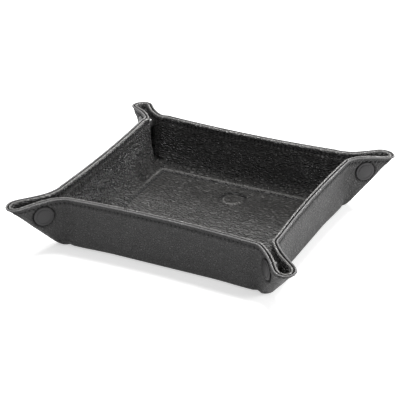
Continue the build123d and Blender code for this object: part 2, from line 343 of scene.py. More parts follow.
# Distance from one wall's stretch of unevenness to the next one's, so that no two walls are alike
SIDE_SHIFT = 0.3
# Margins over which the unevenness fades: from a crease, from the rim, and as shares of height and of ear
CREASE_FADE, RIM_FADE, FOOT_FADE, EAR_FADE = 0.006, 0.004, 0.15, 0.15
EAR_UNEVEN_SHARE = 0.7
# Height, wave length and start of the two gathers that cross each other at an ear's tip
GATHER, GATHER_LENGTH, GATHER_START = 0.00042, 0.0052, 0.6
FINE_GATHER, FINE_GATHER_LENGTH = 0.0003, 0.0031
GATHER_FADE = 0.0025
# Shares of an ear between which the gathers grow, and share of its height over which they lie
GATHER_FROM, GATHER_FULL, GATHER_LOW = 0.62, 0.9, 0.45
# The ring pressed round a snap cap: depth, place outside the cap and spread, then the swell outside it
RING_DEPTH, RING_PLACE, RING_SPREAD = 0.0008, 0.0003, 0.0010
RING_SWELL, RING_SWELL_PLACE, RING_SWELL_SPREAD = 0.0003, 0.0032, 0.0018
RING_REACH, RING_CALM = 0.014, 0.009
# A small share of height, by which a face's direction is measured
STEP_SHARE = 0.01

Side = namedtuple("Side", "half_length half_width bow turns")


class TrayForm:
    """The tray's surfaces as places in metres, from the settings in the sidebar."""

    def __init__(self, scene):
        form = scene.tray_form
        self.s = form
        self.stitch = scene.tray_stitch
        self.floor = scene.tray_floor
        self.slope = form.wall_angle
        self.run = form.bend_radius * math.sin(self.slope)
        self.rise = form.bend_radius * (1 - math.cos(self.slope))
        self.wall_rise = form.rim_height - self.rise
        self.wall_run = self.wall_rise / math.tan(self.slope)
        self.half_x = form.rim_length / 2 - self.run - self.wall_run
        self.half_y = form.rim_width / 2 - self.run - self.wall_run
        self.flare_rim = form.flare_rim
        self.outlines = {}

    def pick_corner(self, corner):
        self.flare_rim = self.s.flare_wide if corner in ("front_left", "back_right") else self.s.flare_rim
        self.outlines = {}

    def side(self, name):
        """Half length along the side, half width to it, bow, and quarter turns from the front wall."""
        turns = SIDES.index(name)
        if turns % 2:
            return Side(self.half_y, self.half_x, self.s.bow_short, turns)
        return Side(self.half_x, self.half_y, self.s.bow_long, turns)

    def foot_ends(self, name):
        """Middle of the side's bend where it leaves the floor and where it meets the wall, for blending."""
        side = self.side(name)
        turn = Matrix.Rotation(side.turns * math.pi / 2, 3, "Z")
        start = turn @ Vector((0, -side.half_width, self.s.thickness / 2))
        end = turn @ Vector((0, -side.half_width - self.run, self.rise))
        return {"start": tuple(start), "end": tuple(end)}

    def stitch_count(self, length):
        return round(length / self.stitch.pitch)

    def stitch_share(self):
        """Share of a wall's height at which its stitches sit."""
        return 1 - self.stitch.below_rim / self.wall_rise

    def rim_dress(self, phase, below):
        """How far stitching and turned edge press the face in; phase has a hole at each whole number."""
        wave = 0.5 + 0.5 * math.cos(2 * math.pi * phase)
        line = self.stitch.below_rim
        press = self.stitch.sink * hump(below, line, LINE_SPREAD) * (1 - HOLE_SHARE + HOLE_SHARE * wave)
        roll = -ROLL_HEIGHT * hump(below, line * 0.5, ROLL_SPREAD)
        under = hump(below, line + UNDER_PUCKER, UNDER_SPREAD)
        over = hump(below, line - OVER_PUCKER, OVER_SPREAD)
        pucker = PUCKER_HEIGHT * (under + OVER_SHARE * over) * (wave - 0.5)
        swell = -SWELL_HEIGHT * hump(below, line + SWELL_PLACE, SWELL_SPREAD)
        return press + roll + pucker + swell

    def seam_shade(self, phase, below):
        """Painted shade along the stitching line: darkest in the needle holes."""
        wave = 0.5 + 0.5 * math.cos(2 * math.pi * phase)
        return hump(below, self.stitch.below_rim, SHADE_SPREAD) * (1 - HOLE_SHARE + HOLE_SHARE * wave)

    def pucker_shine(self, phase, below, depth):
        """Painted highlight on the crests between the stitches, stronger on the lining."""
        crest = 0.5 - 0.5 * math.cos(2 * math.pi * phase)
        share = LINING_SHINE if depth > self.s.thickness / 2 else OUTER_SHINE
        return share * crest * hump(below, self.stitch.below_rim + CREST_PLACE, CREST_SPREAD)

    def seam_distance(self, x, y):
        """Distance outside the floor's seam, negative inside it."""
        radius = self.floor.seam_corner
        dx = abs(x) - (self.half_x - self.floor.seam_inset - radius)
        dy = abs(y) - (self.half_y - self.floor.seam_inset - radius)
        if dx > 0 and dy > 0:
            return math.hypot(dx, dy) - radius
        return max(dx, dy) - radius

    def strip_rise(self, x, y):
        """How far the lining has risen between the floor's seam and the walls."""
        share = min(max(self.seam_distance(x, y) / self.floor.seam_inset, 0.0), 1.0)
        return self.floor.strip_rise * share**STRIP_POWER

    def strip_slope(self):
        return STRIP_POWER * self.floor.strip_rise / self.floor.seam_inset

    def foot_flare(self, share):
        return self.s.foot_flare * (1 - smooth_step(share, 0.0, FLARE_SHARE))

    def soft_foot(self, share):
        """Shift in and up of the lining at a wall's foot, where it bends more softly."""
        rest = max(0.0, 1 - share / SOFT_SHARE)
        return self.s.lining_in * rest**2, self.s.lining_up * rest

    def ease(self, x, y, z):
        """Slow unevenness of soft leather, a fraction of a millimetre."""
        place = Vector((x, y, z)) * UNEVEN_WAVES
        return UNEVEN_HEIGHT * noise.noise(place) + FINER_HEIGHT * noise.noise(place * FINER)

    def wall_place(self, name, x, share, depth, lift):
        """Place on a wall drawn as the front one: x along it, share of its height, depth under its face."""
        side = self.side(name)
        span = side.half_length - self.s.crease
        below = (1 - share) * self.wall_rise - lift
        middle = self.s.thickness / 2
        phase = (x + span) / (2 * span) * self.stitch_count(2 * span)
        sag = side.bow * (1 - (x / span) ** 2) * share
        y = -(side.half_width + self.run + self.wall_run * share - sag) + depth / math.sin(self.slope)
        z = self.rise + self.wall_rise * share + lift
        edge = smooth_step(span - abs(x), 0.0, CREASE_FADE) * smooth_step(share, 0.0, FOOT_FADE)
        uneven = self.ease(x + SIDE_SHIFT * side.turns, y, z) * edge * smooth_step(below, 0.0, RIM_FADE)
        press = self.rim_dress(phase, below) if share > 0.5 else 0.0
        y += (press if depth <= middle else -press) + uneven
        if depth > middle:
            inward, upward = self.soft_foot(share)
            y += inward
            z += upward
        else:
            y -= self.foot_flare(share) * (1 - smooth_step(span - abs(x), 0.0, FLARE_FADE))
        return Vector((x, y, z))

    def foot_place(self, name, x, share, depth):
        """Place on the bend under a wall, from the floor's edge up to the wall's foot."""
        side = self.side(name)
        foot = Vector((x, -side.half_width, depth))
        flat = Vector((0, -1, 0))
        reach = OUTER_REACH
        if depth > self.s.thickness / 2:
            across, along = (side.half_width, x) if side.turns % 2 else (x, side.half_width)
            foot.z += self.strip_rise(across, along)
            flat.z = self.strip_slope()
            reach = LINING_REACH
        crown = self.wall_place(name, x, 0.0, depth, 0.0)
        steep = (self.wall_place(name, x, STEP_SHARE, depth, 0.0) - crown).normalized()
        return self.bend(foot, crown, flat.normalized(), steep, share, reach)

    def bend(self, foot, crown, flat, steep, share, reach):
        handle = reach * (crown - foot).length
        a = foot + flat * handle
        b = crown - steep * handle
        rest = 1 - share
        return foot * rest**3 + a * (3 * share * rest**2) + b * (3 * share**2 * rest) + crown * share**3

    def ear_outline(self, share):
        """Fine places of reach and half width round half an ear at one level, with the length up to each."""
        key = round(share, 5)
        if key in self.outlines:
            return self.outlines[key]
        f = self.s
        snap_share = through(SNAP_SHARE, share)
        rim_share = through(RIM_SHARE, share)
        run = self.run + self.wall_run * share
        tip = f.reach_low + (f.reach_rim - f.reach_low) * share
        held = f.half_low + (f.half_snap - f.half_low) * snap_share
        neck = held + (f.half_neck - f.half_snap) * rim_share
        loop = held + (f.half_loop - f.half_snap) * rim_share
        flare = ((run + f.crease) / ROOT2 - neck) * (f.flare_low + (self.flare_rim - f.flare_low) * share)
        start = run * ROOT2 - neck - flare
        end = tip - loop
        points = [((run - f.crease) / ROOT2, (run + f.crease) / ROOT2)]
        for along, widen, bend in OUTLINE:
            points.append((start + (end - start) * along, neck + (loop - neck) * widen + flare * bend))
        for turn in END_TURNS:
            points.append((end + loop * math.sin(turn * math.pi / 2), loop * math.cos(turn * math.pi / 2)))
        points.append((tip, 0.0))
        first = math.hypot(points[1][0] - points[0][0], points[1][1] - points[0][1])
        before = (points[1][0] - first * ROOT2, points[1][1] + first * ROOT2)
        points = [before] + points + [(points[-2][0], -points[-2][1])]
        fine = []
        for k in range(1, len(points) - 2):
            for step in range(OUTLINE_STEPS):
                fine.append(self.curve(points[k - 1 : k + 3], step / OUTLINE_STEPS))
        fine.append((tip, 0.0))
        lengths = [0.0]
        for a, b in zip(fine, fine[1:]):
            lengths.append(lengths[-1] + math.hypot(b[0] - a[0], b[1] - a[1]))
        self.outlines[key] = (fine, lengths)
        return self.outlines[key]

    def curve(self, four, s):
        """Smooth curve between the middle two of four points."""
        chord = math.hypot(four[2][0] - four[1][0], four[2][1] - four[1][1])
        result = []
        before, between, after = [math.hypot(b[0] - a[0], b[1] - a[1]) for a, b in zip(four, four[1:])]
        for axis in (0, 1):
            p = [point[axis] for point in four]
            slope_a = (p[1] - p[0]) / before * between + (p[2] - p[1]) / between * before
            slope_b = (p[2] - p[1]) / between * after + (p[3] - p[2]) / after * between
            slope_a /= before + between
            slope_b /= between + after
            value = (2 * s**3 - 3 * s**2 + 1) * p[1] + (s**3 - 2 * s**2 + s) * chord * slope_a
            value += (3 * s**2 - 2 * s**3) * p[2] + (s**3 - s**2) * chord * slope_b
            result.append(value)
        return result[0], result[1]

    def ear_stitches(self):
        return self.stitch_count(self.ear_outline(self.stitch_share())[1][-1])

    def ear_sample(self, share, along):
        """Place and direction of a share along an ear's outline, then its length, first and last reach."""
        fine, lengths = self.ear_outline(share)
        target = along * lengths[-1]
        low, high = 0, len(lengths) - 1
        while high - low > 1:
            mid = (low + high) // 2
            if lengths[mid] > target:
                high = mid
            else:
                low = mid
        part = (target - lengths[low]) / (lengths[high] - lengths[low])
        a, b = fine[low], fine[high]
        before = fine[low - 1] if low else a
        after = fine[high + 1] if high + 1 < len(fine) else (fine[high - 1][0], -fine[high - 1][1])
        if low == 0:
            tangent_a = (1 / ROOT2, -1 / ROOT2)
        else:
            tangent_a = (b[0] - before[0], b[1] - before[1])
        tangent_b = (after[0] - a[0], after[1] - a[1])
        size_a, size_b = math.hypot(*tangent_a), math.hypot(*tangent_b)
        tangent = [p / size_a * (1 - part) + q / size_b * part for p, q in zip(tangent_a, tangent_b)]
        size = math.hypot(*tangent)
        place = (a[0] + (b[0] - a[0]) * part, a[1] + (b[1] - a[1]) * part)
        return place, (tangent[0] / size, tangent[1] / size), lengths[-1], fine[0][0], fine[-1][0]

    def ear_height(self, share, reach, first, last):
        return self.rise + self.wall_rise * share - self.s.droop * share * (reach - first) / (last - first)

    def cap_distance(self, along, share):
        """Distance of a place on an ear's outer face from the middle of its snap."""
        place, *rest = self.ear_sample(share, along)
        reach = place[0]
        height = self.ear_height(share, reach, *rest[-2:])
        return math.hypot(reach - self.s.snap_reach, height - self.s.snap_height)

    def ear_place(self, along, share, depth, lift):
        """Place on the front half of the front right ear: along it from its crease to the fold edge."""
        f = self.s
        (reach, half), (step_reach, step_half), whole, first, last = self.ear_sample(share, along)
        middle = f.thickness / 2
        below = (1 - share) * self.wall_rise - lift
        z = self.ear_height(share, reach, first, last) + lift
        press = self.rim_dress(along * self.ear_stitches(), below) if share > 0.5 else 0.0
        gather = smooth_step(along, GATHER_FROM, GATHER_FULL) * smooth_step(share, GATHER_LOW, 1.0)
        ripple = GATHER * gather * math.sin(2 * math.pi * (1 - along) * whole / GATHER_LENGTH + GATHER_START)
        ripple += FINE_GATHER * gather * math.cos(2 * math.pi * (1 - along) * whole / FINE_GATHER_LENGTH)
        inside = depth + (press if depth <= middle else -press)
        inside += ripple * smooth_step(below, 0.0, GATHER_FADE)
        ring = math.hypot(reach - f.snap_reach, z - f.snap_height)
        if depth <= middle and ring < RING_REACH:
            inside += RING_DEPTH * hump(ring, f.cap_radius + RING_PLACE, RING_SPREAD)
            inside -= RING_SWELL * hump(ring, f.cap_radius + RING_SWELL_PLACE, RING_SWELL_SPREAD)
        if depth > middle:
            inward, upward = self.soft_foot(share)
            held = 1 - smooth_step(along, 0.0, 0.3)
            inside += inward * held
            z += upward * held
        reach += step_half * inside
        half -= step_reach * inside
        x = self.half_x + (reach - half) / ROOT2
        y = -(self.half_y + (reach + half) / ROOT2)
        if depth <= middle:
            y -= self.foot_flare(share) * (1 - smooth_step(along, 0.0, EAR_FLARE_FADE))
        edge = smooth_step(along, 0.0, EAR_FADE) * (1 - smooth_step(along, 1 - EAR_FADE, 1.0))
        edge *= smooth_step(share, 0.0, FOOT_FADE)
        edge *= smooth_step(ring, RING_CALM, RING_REACH) * smooth_step(below, 0.0, RIM_FADE)
        uneven = self.ease(x, y, z) * edge * EAR_UNEVEN_SHARE
        return Vector((x + uneven / ROOT2, y + uneven / ROOT2, z))

    def corner_place(self, along, share, depth):
        """Place on the bend under the front half of the front right ear."""
        c = self.s.crease
        start = Vector((self.half_x - c, -self.half_y, depth))
        middle = Vector((self.half_x - c / 2, -(self.half_y - c / 2), depth))
        foot = start.lerp(middle, along)
        crown = self.ear_place(along, 0.0, depth, 0.0)
        steep = (self.ear_place(along, STEP_SHARE, depth, 0.0) - crown).normalized()
        flat = Vector((crown.x - foot.x, crown.y - foot.y, 0)).normalized()
        reach = OUTER_REACH - CORNER_LOSS * along
        if depth > self.s.thickness / 2:
            foot.z += self.strip_rise(foot.x, foot.y)
            flat.z = self.strip_slope() * (1 - along)
            reach = LINING_REACH
        return self.bend(foot, crown, flat.normalized(), steep, share, reach)


# Rows of faces up a wall under its stitched band, rows in that band, and its bounds under the rim
FACE_ROWS, BAND_ROWS = 22, 14
BAND_LOW, BAND_HIGH = 0.0095, 0.0013


def face_shares(form):
    """Shares from a wall's foot to just under its rim profile, closer together where the stitching is."""
    low = 1 - BAND_LOW / form.wall_rise
    high = 1 - BAND_HIGH / form.wall_rise
    rows = [low * k / FACE_ROWS for k in range(FACE_ROWS)]
    return rows + [low + (high - low) * k / BAND_ROWS for k in range(BAND_ROWS + 1)]


def rim_steps(form):
    """Rows of share, depth and lift over the outer turned edge, down the groove and over the inner one."""
    thick = form.s.thickness
    outer = [(1.0, depth, lift) for depth, lift in EDGE_PROFILE]
    inner = [(1.0, thick - depth, lift) for depth, lift in reversed(EDGE_PROFILE)]
    return outer + [(1.0, thick / 2, GROOVE_LIFT)] + inner


def mode(name):
    bpy.ops.object.mode_set(mode=name)


def deselect():
    if bpy.context.object and bpy.context.object.mode != "OBJECT":
        mode("OBJECT")
    bpy.ops.object.select_all(action="DESELECT")


def new_grid(name, columns, rows):
    """A grid to be laid out, with the attributes that its finish reads."""
    deselect()
    bpy.ops.mesh.primitive_grid_add(x_subdivisions=columns, y_subdivisions=rows, size=2)
    piece = bpy.context.object
    piece.name = name
    piece.data.name = name
    # rim holds painted highlights, seam holds painted shade, which the leather finishes mix into their colour
    for attribute in ("rim", "seam"):
        piece.data.attributes.new(attribute, "FLOAT", "POINT")
    return piece


def mark(mesh, vertex, highlighted, pressed):
    """Writes the painted highlight and the painted shade at a vertex."""
    mesh.attributes["rim"].data[vertex.index].value = highlighted
    mesh.attributes["seam"].data[vertex.index].value = pressed


def smooth(mesh):
    mesh.polygons.foreach_set("use_smooth", [True] * len(mesh.polygons))


def turn_outwards():
    bpy.ops.mesh.select_all(action="SELECT")
    bpy.ops.mesh.normals_make_consistent(inside=False)
    mode("OBJECT")


def folded_sheet(name, columns, rows, place, dress):
    """A grid laid over a folded form, up its outer face, over its edge and down its inner face."""
    piece = new_grid(name, columns, rows)
    mesh = piece.data
    wide = columns + 1
    for vertex in mesh.vertices:
        i, j = vertex.index % wide, vertex.index // wide
        vertex.co = place(i, j)
        mark(mesh, vertex, *dress(i, j))
        vertex.select = False
    smooth(mesh)
    for polygon in mesh.polygons:
        polygon.select = False
    for edge in mesh.edges:
        a, b = (corner // wide for corner in edge.vertices)
        edge.select = a == b and a in (0, rows)
        if edge.select:
            for corner in edge.vertices:
                mesh.vertices[corner].select = True
    mode("EDIT")
    bpy.ops.mesh.select_mode(type="EDGE")
    bpy.ops.mesh.bridge_edge_loops()
    bpy.ops.mesh.select_all(action="DESELECT")
    bpy.ops.mesh.select_non_manifold()
    bpy.ops.mesh.edge_face_add()
    turn_outwards()
    for polygon in mesh.polygons:
        if polygon.index >= columns * rows:
            polygon.use_smooth = False
    piece.location = (0, 0, 0)
    return piece


# Inset and rise of a stitch's rounded ends, how far they dip, and the thread's flatness
END_INSET, END_RISE, END_DIP = 0.45, 0.18, 0.00016
END_FACING = 0.9
THREAD_FLATNESS = 0.42
# Faces round a stitch, and the length of its unscaled shape with its rounded ends
STITCH_SIDES, STITCH_UNITS = 8, 2.4
# How far a stitch's middle stands off the leather, and how deep the floor's stitches lie
STAND_OFF, FLOOR_STITCH_SINK = 0.00016, 0.00022
# Distances by which the direction of the stitching line is measured, along a wall and as a share of an ear
AHEAD, AHEAD_SHARE = 0.0005, 0.01


def stitch_shape():
    """Corners and faces of one small stitch with rounded ends."""
    deselect()
    bpy.ops.mesh.primitive_cylinder_add(vertices=STITCH_SIDES, radius=1, depth=2, end_fill_type="NGON")
    shape = bpy.context.object
    mode("EDIT")
    bpy.ops.mesh.select_mode(type="FACE")
    bpy.ops.mesh.select_all(action="DESELECT")
    mode("OBJECT")
    for polygon in shape.data.polygons:
        polygon.select = abs(polygon.normal.z) > END_FACING
    mode("EDIT")
    bpy.ops.mesh.inset(thickness=END_INSET, depth=END_RISE)
    mode("OBJECT")
    corners = [vertex.co.copy() for vertex in shape.data.vertices]
    faces = [tuple(polygon.vertices) for polygon in shape.data.polygons]
    bpy.data.objects.remove(shape)
    return corners, faces


def stitch_run(name, seats):
    """One stitch copied to each seat, which is a place, a direction along and a direction out."""
    settings = bpy.context.scene.tray_stitch
    corners, faces = stitch_shape()
    points, polygons = [], []
    for place, along, out in seats:
        across = out.cross(along).normalized()
        first = len(points)
        for corner in corners:
            dip = -END_DIP * abs(corner.z) ** 2
            offset = along * corner.z * settings.length / STITCH_UNITS
            offset += across * corner.x * settings.width / 2
            points.append(place + offset + out * (corner.y * settings.width * THREAD_FLATNESS + dip))
        polygons.extend(tuple(first + k for k in face) for face in faces)
    mesh = bpy.data.meshes.new(name)
    mesh.from_pydata(points, [], polygons)
    smooth(mesh)
    piece = bpy.data.objects.new(name, mesh)
    bpy.context.collection.objects.link(piece)
    deselect()
    bpy.context.view_layer.objects.active = piece
    piece.select_set(True)
    mode("EDIT")
    turn_outwards()
    mesh.materials.append(finishes()["Stitching thread"])
    return piece


def mirror_piece(piece, sx, sy):
    """Moves a piece drawn at the front right to another corner."""
    if sx == 1 and sy == -1:
        return
    for vertex in piece.data.vertices:
        vertex.co.x *= sx
        vertex.co.y *= -sy
    if sx * sy > 0:
        piece.data.flip_normals()


def swap_halves(piece, form):
    """Turns the front half of an ear into the side half, across the diagonal of the corner."""
    for vertex in piece.data.vertices:
        x, y = vertex.co.x - form.half_x, -(vertex.co.y + form.half_y)
        vertex.co.x = form.half_x + y
        vertex.co.y = -(form.half_y + x)
    piece.data.flip_normals()


def turn_piece(piece, turns):
    piece.data.transform(Matrix.Rotation(turns * math.pi / 2, 4, "Z"))


# Lifts between which a turned edge goes from no painted highlight to its full painted highlight
PLAIN_LIFT, BRIGHT_LIFT = -0.00095, -0.0001
# Depths in the rim between which the groove lies, and how far under the rim its painted shade deepens
GROOVE_OUTER, GROOVE_INNER = 0.001, 0.0027
GROOVE_PALE, GROOVE_DARK = 0.0004, 0.0010


def edge_highlight(lift):
    """Painted highlight on the turned edges: full on their crests, none in the groove."""
    return smooth_step(lift, PLAIN_LIFT, BRIGHT_LIFT)


def groove_shade(depth, lift):
    """Painted shade in the groove between the two turned edges."""
    return smooth_step(-lift, GROOVE_PALE, GROOVE_DARK) if GROOVE_OUTER < depth < GROOVE_INNER else 0.0


class Socket:
    """Wraps a node's output so that sums and products of outputs write their own Math nodes."""

    def __init__(self, finish, output):
        self.finish = finish
        self.output = output

    def math(self, operation, other, swap=False):
        pair = (other, self) if swap else (self, other)
        return self.finish.node("ShaderNodeMath", {"operation": operation}, {0: pair[0], 1: pair[1]})

    def __add__(self, other):
        return self.math("ADD", other)

    def __radd__(self, other):
        return self.math("ADD", other, True)

    def __sub__(self, other):
        return self.math("SUBTRACT", other)

    def __rsub__(self, other):
        return self.math("SUBTRACT", other, True)

    def __mul__(self, other):
        return self.math("MULTIPLY", other)

    def __rmul__(self, other):
        return self.math("MULTIPLY", other, True)


class Finish:
    """The nodes of one procedural material or of the world, added by one method."""

    def __init__(self, owner, out="ShaderNodeOutputMaterial"):
        self.owner = owner
        owner.use_nodes = True
        self.tree = owner.node_tree
        self.tree.nodes.clear()
        self.out = self.tree.nodes.new(out)

    def node(self, kind, settings=None, sockets=None, output=0):
        node = self.tree.nodes.new(kind)
        for key, value in (settings or {}).items():
            setattr(node, key, value)
        for key, value in (sockets or {}).items():
            if isinstance(value, Socket):
                self.tree.links.new(value.output, node.inputs[key])
            else:
                node.inputs[key].default_value = value
        return Socket(self, node.outputs[output])

    def object_place(self):
        return self.node("ShaderNodeTexCoord", output="Object")

    def mix(self, factor, a, b):
        settings = {"data_type": "RGBA", "blend_type": "MIX"}
        return self.node("ShaderNodeMix", settings, {0: factor, 6: a, 7: b}, output=2)

    def vector(self, operation, a, b):
        sockets = {0: a, "Scale": b} if operation == "SCALE" else {0: a, 1: b}
        return self.node("ShaderNodeVectorMath", {"operation": operation}, sockets)

    def noise(self, place, scale, detail, output=0):
        sockets = {"Vector": place, "Scale": scale, "Detail": detail}
        return self.node("ShaderNodeTexNoise", None, sockets, output)

    def cells(self, feature, place, scale):
        sockets = {"Vector": place, "Scale": scale}
        return self.node("ShaderNodeTexVoronoi", {"feature": feature}, sockets, "Distance")

    def spread(self, value, low, high, kind="LINEAR"):
        """Maps a value from between low and high to between 0 and 1."""
        return self.node("ShaderNodeMapRange", {"interpolation_type": kind}, {0: value, 1: low, 2: high})

    def attribute(self, name):
        return self.node("ShaderNodeAttribute", {"attribute_name": name}, output="Fac")

    def bump(self, height, strength, distance):
        sockets = {"Strength": strength, "Distance": distance, "Height": height}
        return self.node("ShaderNodeBump", None, sockets, "Normal")

    def seen_rays(self):
        """One for what the camera sees by itself, in a reflection or through a piece, zero for light."""
        camera, glossy, passed = (
            self.node("ShaderNodeLightPath", output=ray)
            for ray in ("Is Camera Ray", "Is Glossy Ray", "Is Transmission Ray")
        )
        return camera.math("MAXIMUM", glossy).math("MAXIMUM", passed)

    def surface(self, shader):
        self.tree.links.new(shader.output, self.out.inputs["Surface"])
        return self.owner

    def principled(self, sockets):
        return self.surface(self.node("ShaderNodeBsdfPrincipled", None, sockets))


def new_finish(name):
    return Finish(bpy.data.materials.new(name))


def colour4(colour, factor=1.0):
    return (colour[0] * factor, colour[1] * factor, colour[2] * factor, 1.0)


# Bumps of the fine finishes, and waves per metre of the leather's wide clouds
FINE_BUMP = 0.0001
CLOUD_WAVES = 48.0
# Brightness of the painted highlights and of the painted shade, as shares of the leather's colour
HIGHLIGHT_TONE, SHADE_TONE = 2.6, 0.04
HALF_GREY = (0.5, 0.5, 0.5)


def leather_finish(name, colour, grain, depth, rough, contrast, stretch=(1, 1, 1)):
    """Pebbled leather: rounded pebbles, creases between them in painted shade, soft wrinkles, painted highlights on
    edges and crests, and painted shade in stitching, grooves and round caps.
    """
    finish = new_finish(name)
    place = finish.object_place()
    drawn = finish.vector("MULTIPLY", place, stretch)
    warp = finish.noise(drawn, 0.45 / grain, 2.0, "Color")
    shift = finish.vector("SCALE", finish.vector("SUBTRACT", warp, HALF_GREY), grain * 1.6)
    warped = finish.vector("ADD", drawn, shift)
    edges = finish.cells("DISTANCE_TO_EDGE", warped, 1 / grain)
    small = finish.cells("F1", warped, 2.3 / grain)
    pebbles = finish.spread(edges, 0.0, 0.34, "SMOOTHSTEP")
    fine = finish.noise(place, 4.0 / grain, 3.0)
    folds = finish.noise(drawn, 0.28 / grain, 3.0)
    clouds = finish.spread(finish.noise(place, CLOUD_WAVES, 3.0), 0.3, 0.7)
    # the rim attribute carries painted highlights, the seam attribute painted shade
    rim = finish.attribute("rim")
    seam = finish.attribute("seam")
    height = pebbles * 0.8 + (1 - small) * 0.22 + fine * 0.14 + folds * 1.1
    height = height * (1 - rim * 0.8)
    lump = finish.spread(pebbles + folds - 0.5, 0.25, 1.05)
    tone = finish.mix(clouds, colour4(colour, 1 + 0.15 * contrast), colour4(colour, 1 + 0.6 * contrast))
    # painted shade in the creases between the pebbles
    crease_shaded = finish.mix(lump, colour4(colour, 1 - 0.95 * contrast), tone)
    # painted shade from the seam attribute
    stitched = finish.mix(seam * 0.95, crease_shaded, colour4(colour, SHADE_TONE))
    # painted highlights from the rim attribute
    highlighted = finish.mix(rim * 0.85, stitched, colour4(colour, HIGHLIGHT_TONE))
    roughness = rough + 0.22 * (1 - pebbles) + 0.07 * clouds + 0.35 * seam
    bump = finish.bump(height, 1.0, depth)
    return finish.principled(
        {"Base Color": highlighted, "Roughness": roughness, "Normal": bump, "IOR": 1.5, "Specular IOR Level": 0.45}
    )


def thread_finish(name, colour):
    """Dark thread, speckled by its twist."""
    finish = new_finish(name)
    twist = finish.noise(finish.object_place(), 2600.0, 2.0)
    tone = finish.mix(twist, colour4(colour, 0.7), colour4(colour, 1.9))
    bump = finish.bump(twist, 0.5, FINE_BUMP)
    return finish.principled({"Base Color": tone, "Roughness": 0.5 + 0.2 * twist, "Normal": bump})


def paint_finish(name, colour):
    """Thin satin paint on metal, slightly cloudy."""
    finish = new_finish(name)
    place = finish.object_place()
    speck = finish.noise(place, 1500.0, 2.0)
    cloud = finish.noise(place, 140.0, 3.0)
    tone = finish.mix(cloud, colour4(colour, 0.85), colour4(colour, 1.2))
    bump = finish.bump(speck, 0.15, FINE_BUMP)
    roughness = 0.36 + 0.12 * cloud
    return finish.principled({"Base Color": tone, "Roughness": roughness, "Normal": bump, "IOR": 1.45})


def metal_finish(name, colour):
    """Darkened metal of the snaps, hidden in the ears."""
    finish = new_finish(name)
    brushed = finish.noise(finish.object_place(), 900.0, 3.0)
    tone = finish.mix(brushed, colour4(colour, 0.85), colour4(colour, 1.05))
    bump = finish.bump(brushed, 0.2, FINE_BUMP)
    roughness = 0.28 + 0.15 * brushed
    return finish.principled({"Base Color": tone, "Metallic": 1.0, "Roughness": roughness, "Normal": bump})


def board_finish(name, colour):
    """Fibrous brown board, hidden in the leather."""
    finish = new_finish(name)
    fibre = finish.noise(finish.object_place(), 700.0, 4.0)
    tone = finish.mix(fibre, colour4(colour, 0.8), colour4(colour, 1.15))
    bump = finish.bump(fibre, 0.3, FINE_BUMP)
    return finish.principled({"Base Color": tone, "Roughness": 0.85 + 0.1 * fibre, "Normal": bump})


# How much wider than the grain setting each leather's pebbles are, and how its pebbles are drawn out
OUTER_GRAIN, LINING_GRAIN, FLOOR_GRAIN = 1.5, 1.25, 1.6
OUTER_BUMP, LINING_BUMP = 0.0010, 0.0060
LINING_STRETCH, FLOOR_STRETCH = (0.38, 0.38, 1), (0.36, 1, 1)


def finishes():
    """The tray's materials, made when they are first asked for."""
    tray = bpy.context.scene.tray_finish
    if "Outer leather" not in bpy.data.materials:
        grain = tray.grain
        leather_finish(
            "Outer leather",
            tray.outer_colour,
            grain * OUTER_GRAIN,
            depth=OUTER_BUMP,
            rough=0.36,
            contrast=0.30,
        )
        leather_finish(
            "Lining leather",
            tray.lining_colour,
            grain * LINING_GRAIN,
            depth=LINING_BUMP,
            rough=0.26,
            contrast=0.60,
            stretch=LINING_STRETCH,
        )
        leather_finish(
            "Floor leather",
            tray.floor_colour,
            grain * FLOOR_GRAIN,
            depth=LINING_BUMP,
            rough=0.27,
            contrast=0.50,
            stretch=FLOOR_STRETCH,
        )
        thread_finish("Stitching thread", tray.thread_colour)
        paint_finish("Painted cap", tray.cap_colour)
        metal_finish("Snap metal", tray.metal_colour)
        board_finish("Stiffening board", tray.board_colour)
    return bpy.data.materials


def dress_leather(piece, columns, outer_rows):
    """Outer leather up to the groove in the rim, lining from there on."""
    for finish in ("Outer leather", "Lining leather"):
        piece.data.materials.append(finishes()[finish])
    for polygon in piece.data.polygons:
        if polygon.index // columns >= outer_rows:
            polygon.material_index = 1


# Width of the floor's plain faces and the least width kept, both for faces along X and along Y
FLOOR_STEP, LEAST_STEP = 0.0013, 0.00018
# Margin round the pressing that has fine faces, and how many cross it
PRESSING_MARGIN, PRESSING_STEPS = 0.002, 80
# Band of fine faces at the seam: its start inside the seam, width and count, and where plain faces stop
SEAM_BAND_START, SEAM_BAND_WIDTH, SEAM_STEPS = 0.0057, 0.0084, 18
SEAM_CLEAR, SEAM_CLEAR_SHIFT = 0.0042, 0.0015
# Decimals that plain places are rounded to, the cut's threshold, and a length too short to divide by
DECIMALS, CUT_THRESHOLD, NO_LENGTH = 6, 1e-7, 1e-6
# Depth and spread of the floor's seam, with the share of its depth that the stitches add
SEAM_DEPTH, SEAM_SPREAD, SEAM_WAVE = 0.00075, 0.0010, 0.3
# Place outside the seam and spread of its ridge, with the share of its height that the stitches add
RIDGE_PLACE, RIDGE_SPREAD, RIDGE_WAVE = 0.0023, 0.0014, 0.15
BORDER_FADE, FLOOR_UNEVEN_SHARE = 0.003, 0.3
# The round pressing: reach, its wall's place from its radius, its dome, and the rise round it
PRESSING_REACH, PRESSING_WALL_IN, PRESSING_WALL_OUT = 0.004, 0.0008, 0.0003
DOME_HEIGHT, DOME_IN = 0.0009, 0.0040
LIP_HEIGHT, LIP_PLACE, LIP_SPREAD = 0.0003, 0.0012, 0.0010
# Spreads of the painted shade along the seam and round the pressing, and of the painted highlights on the crests of
# the floor
SEAM_SHADE_SPREAD, PRESSING_SHADE_SPREAD = 0.0011, 0.0014
RIDGE_SHINE_SPREAD, DOME_SHINE_SPREAD, DOME_SHINE_IN = 0.0011, 0.0012, 0.0032
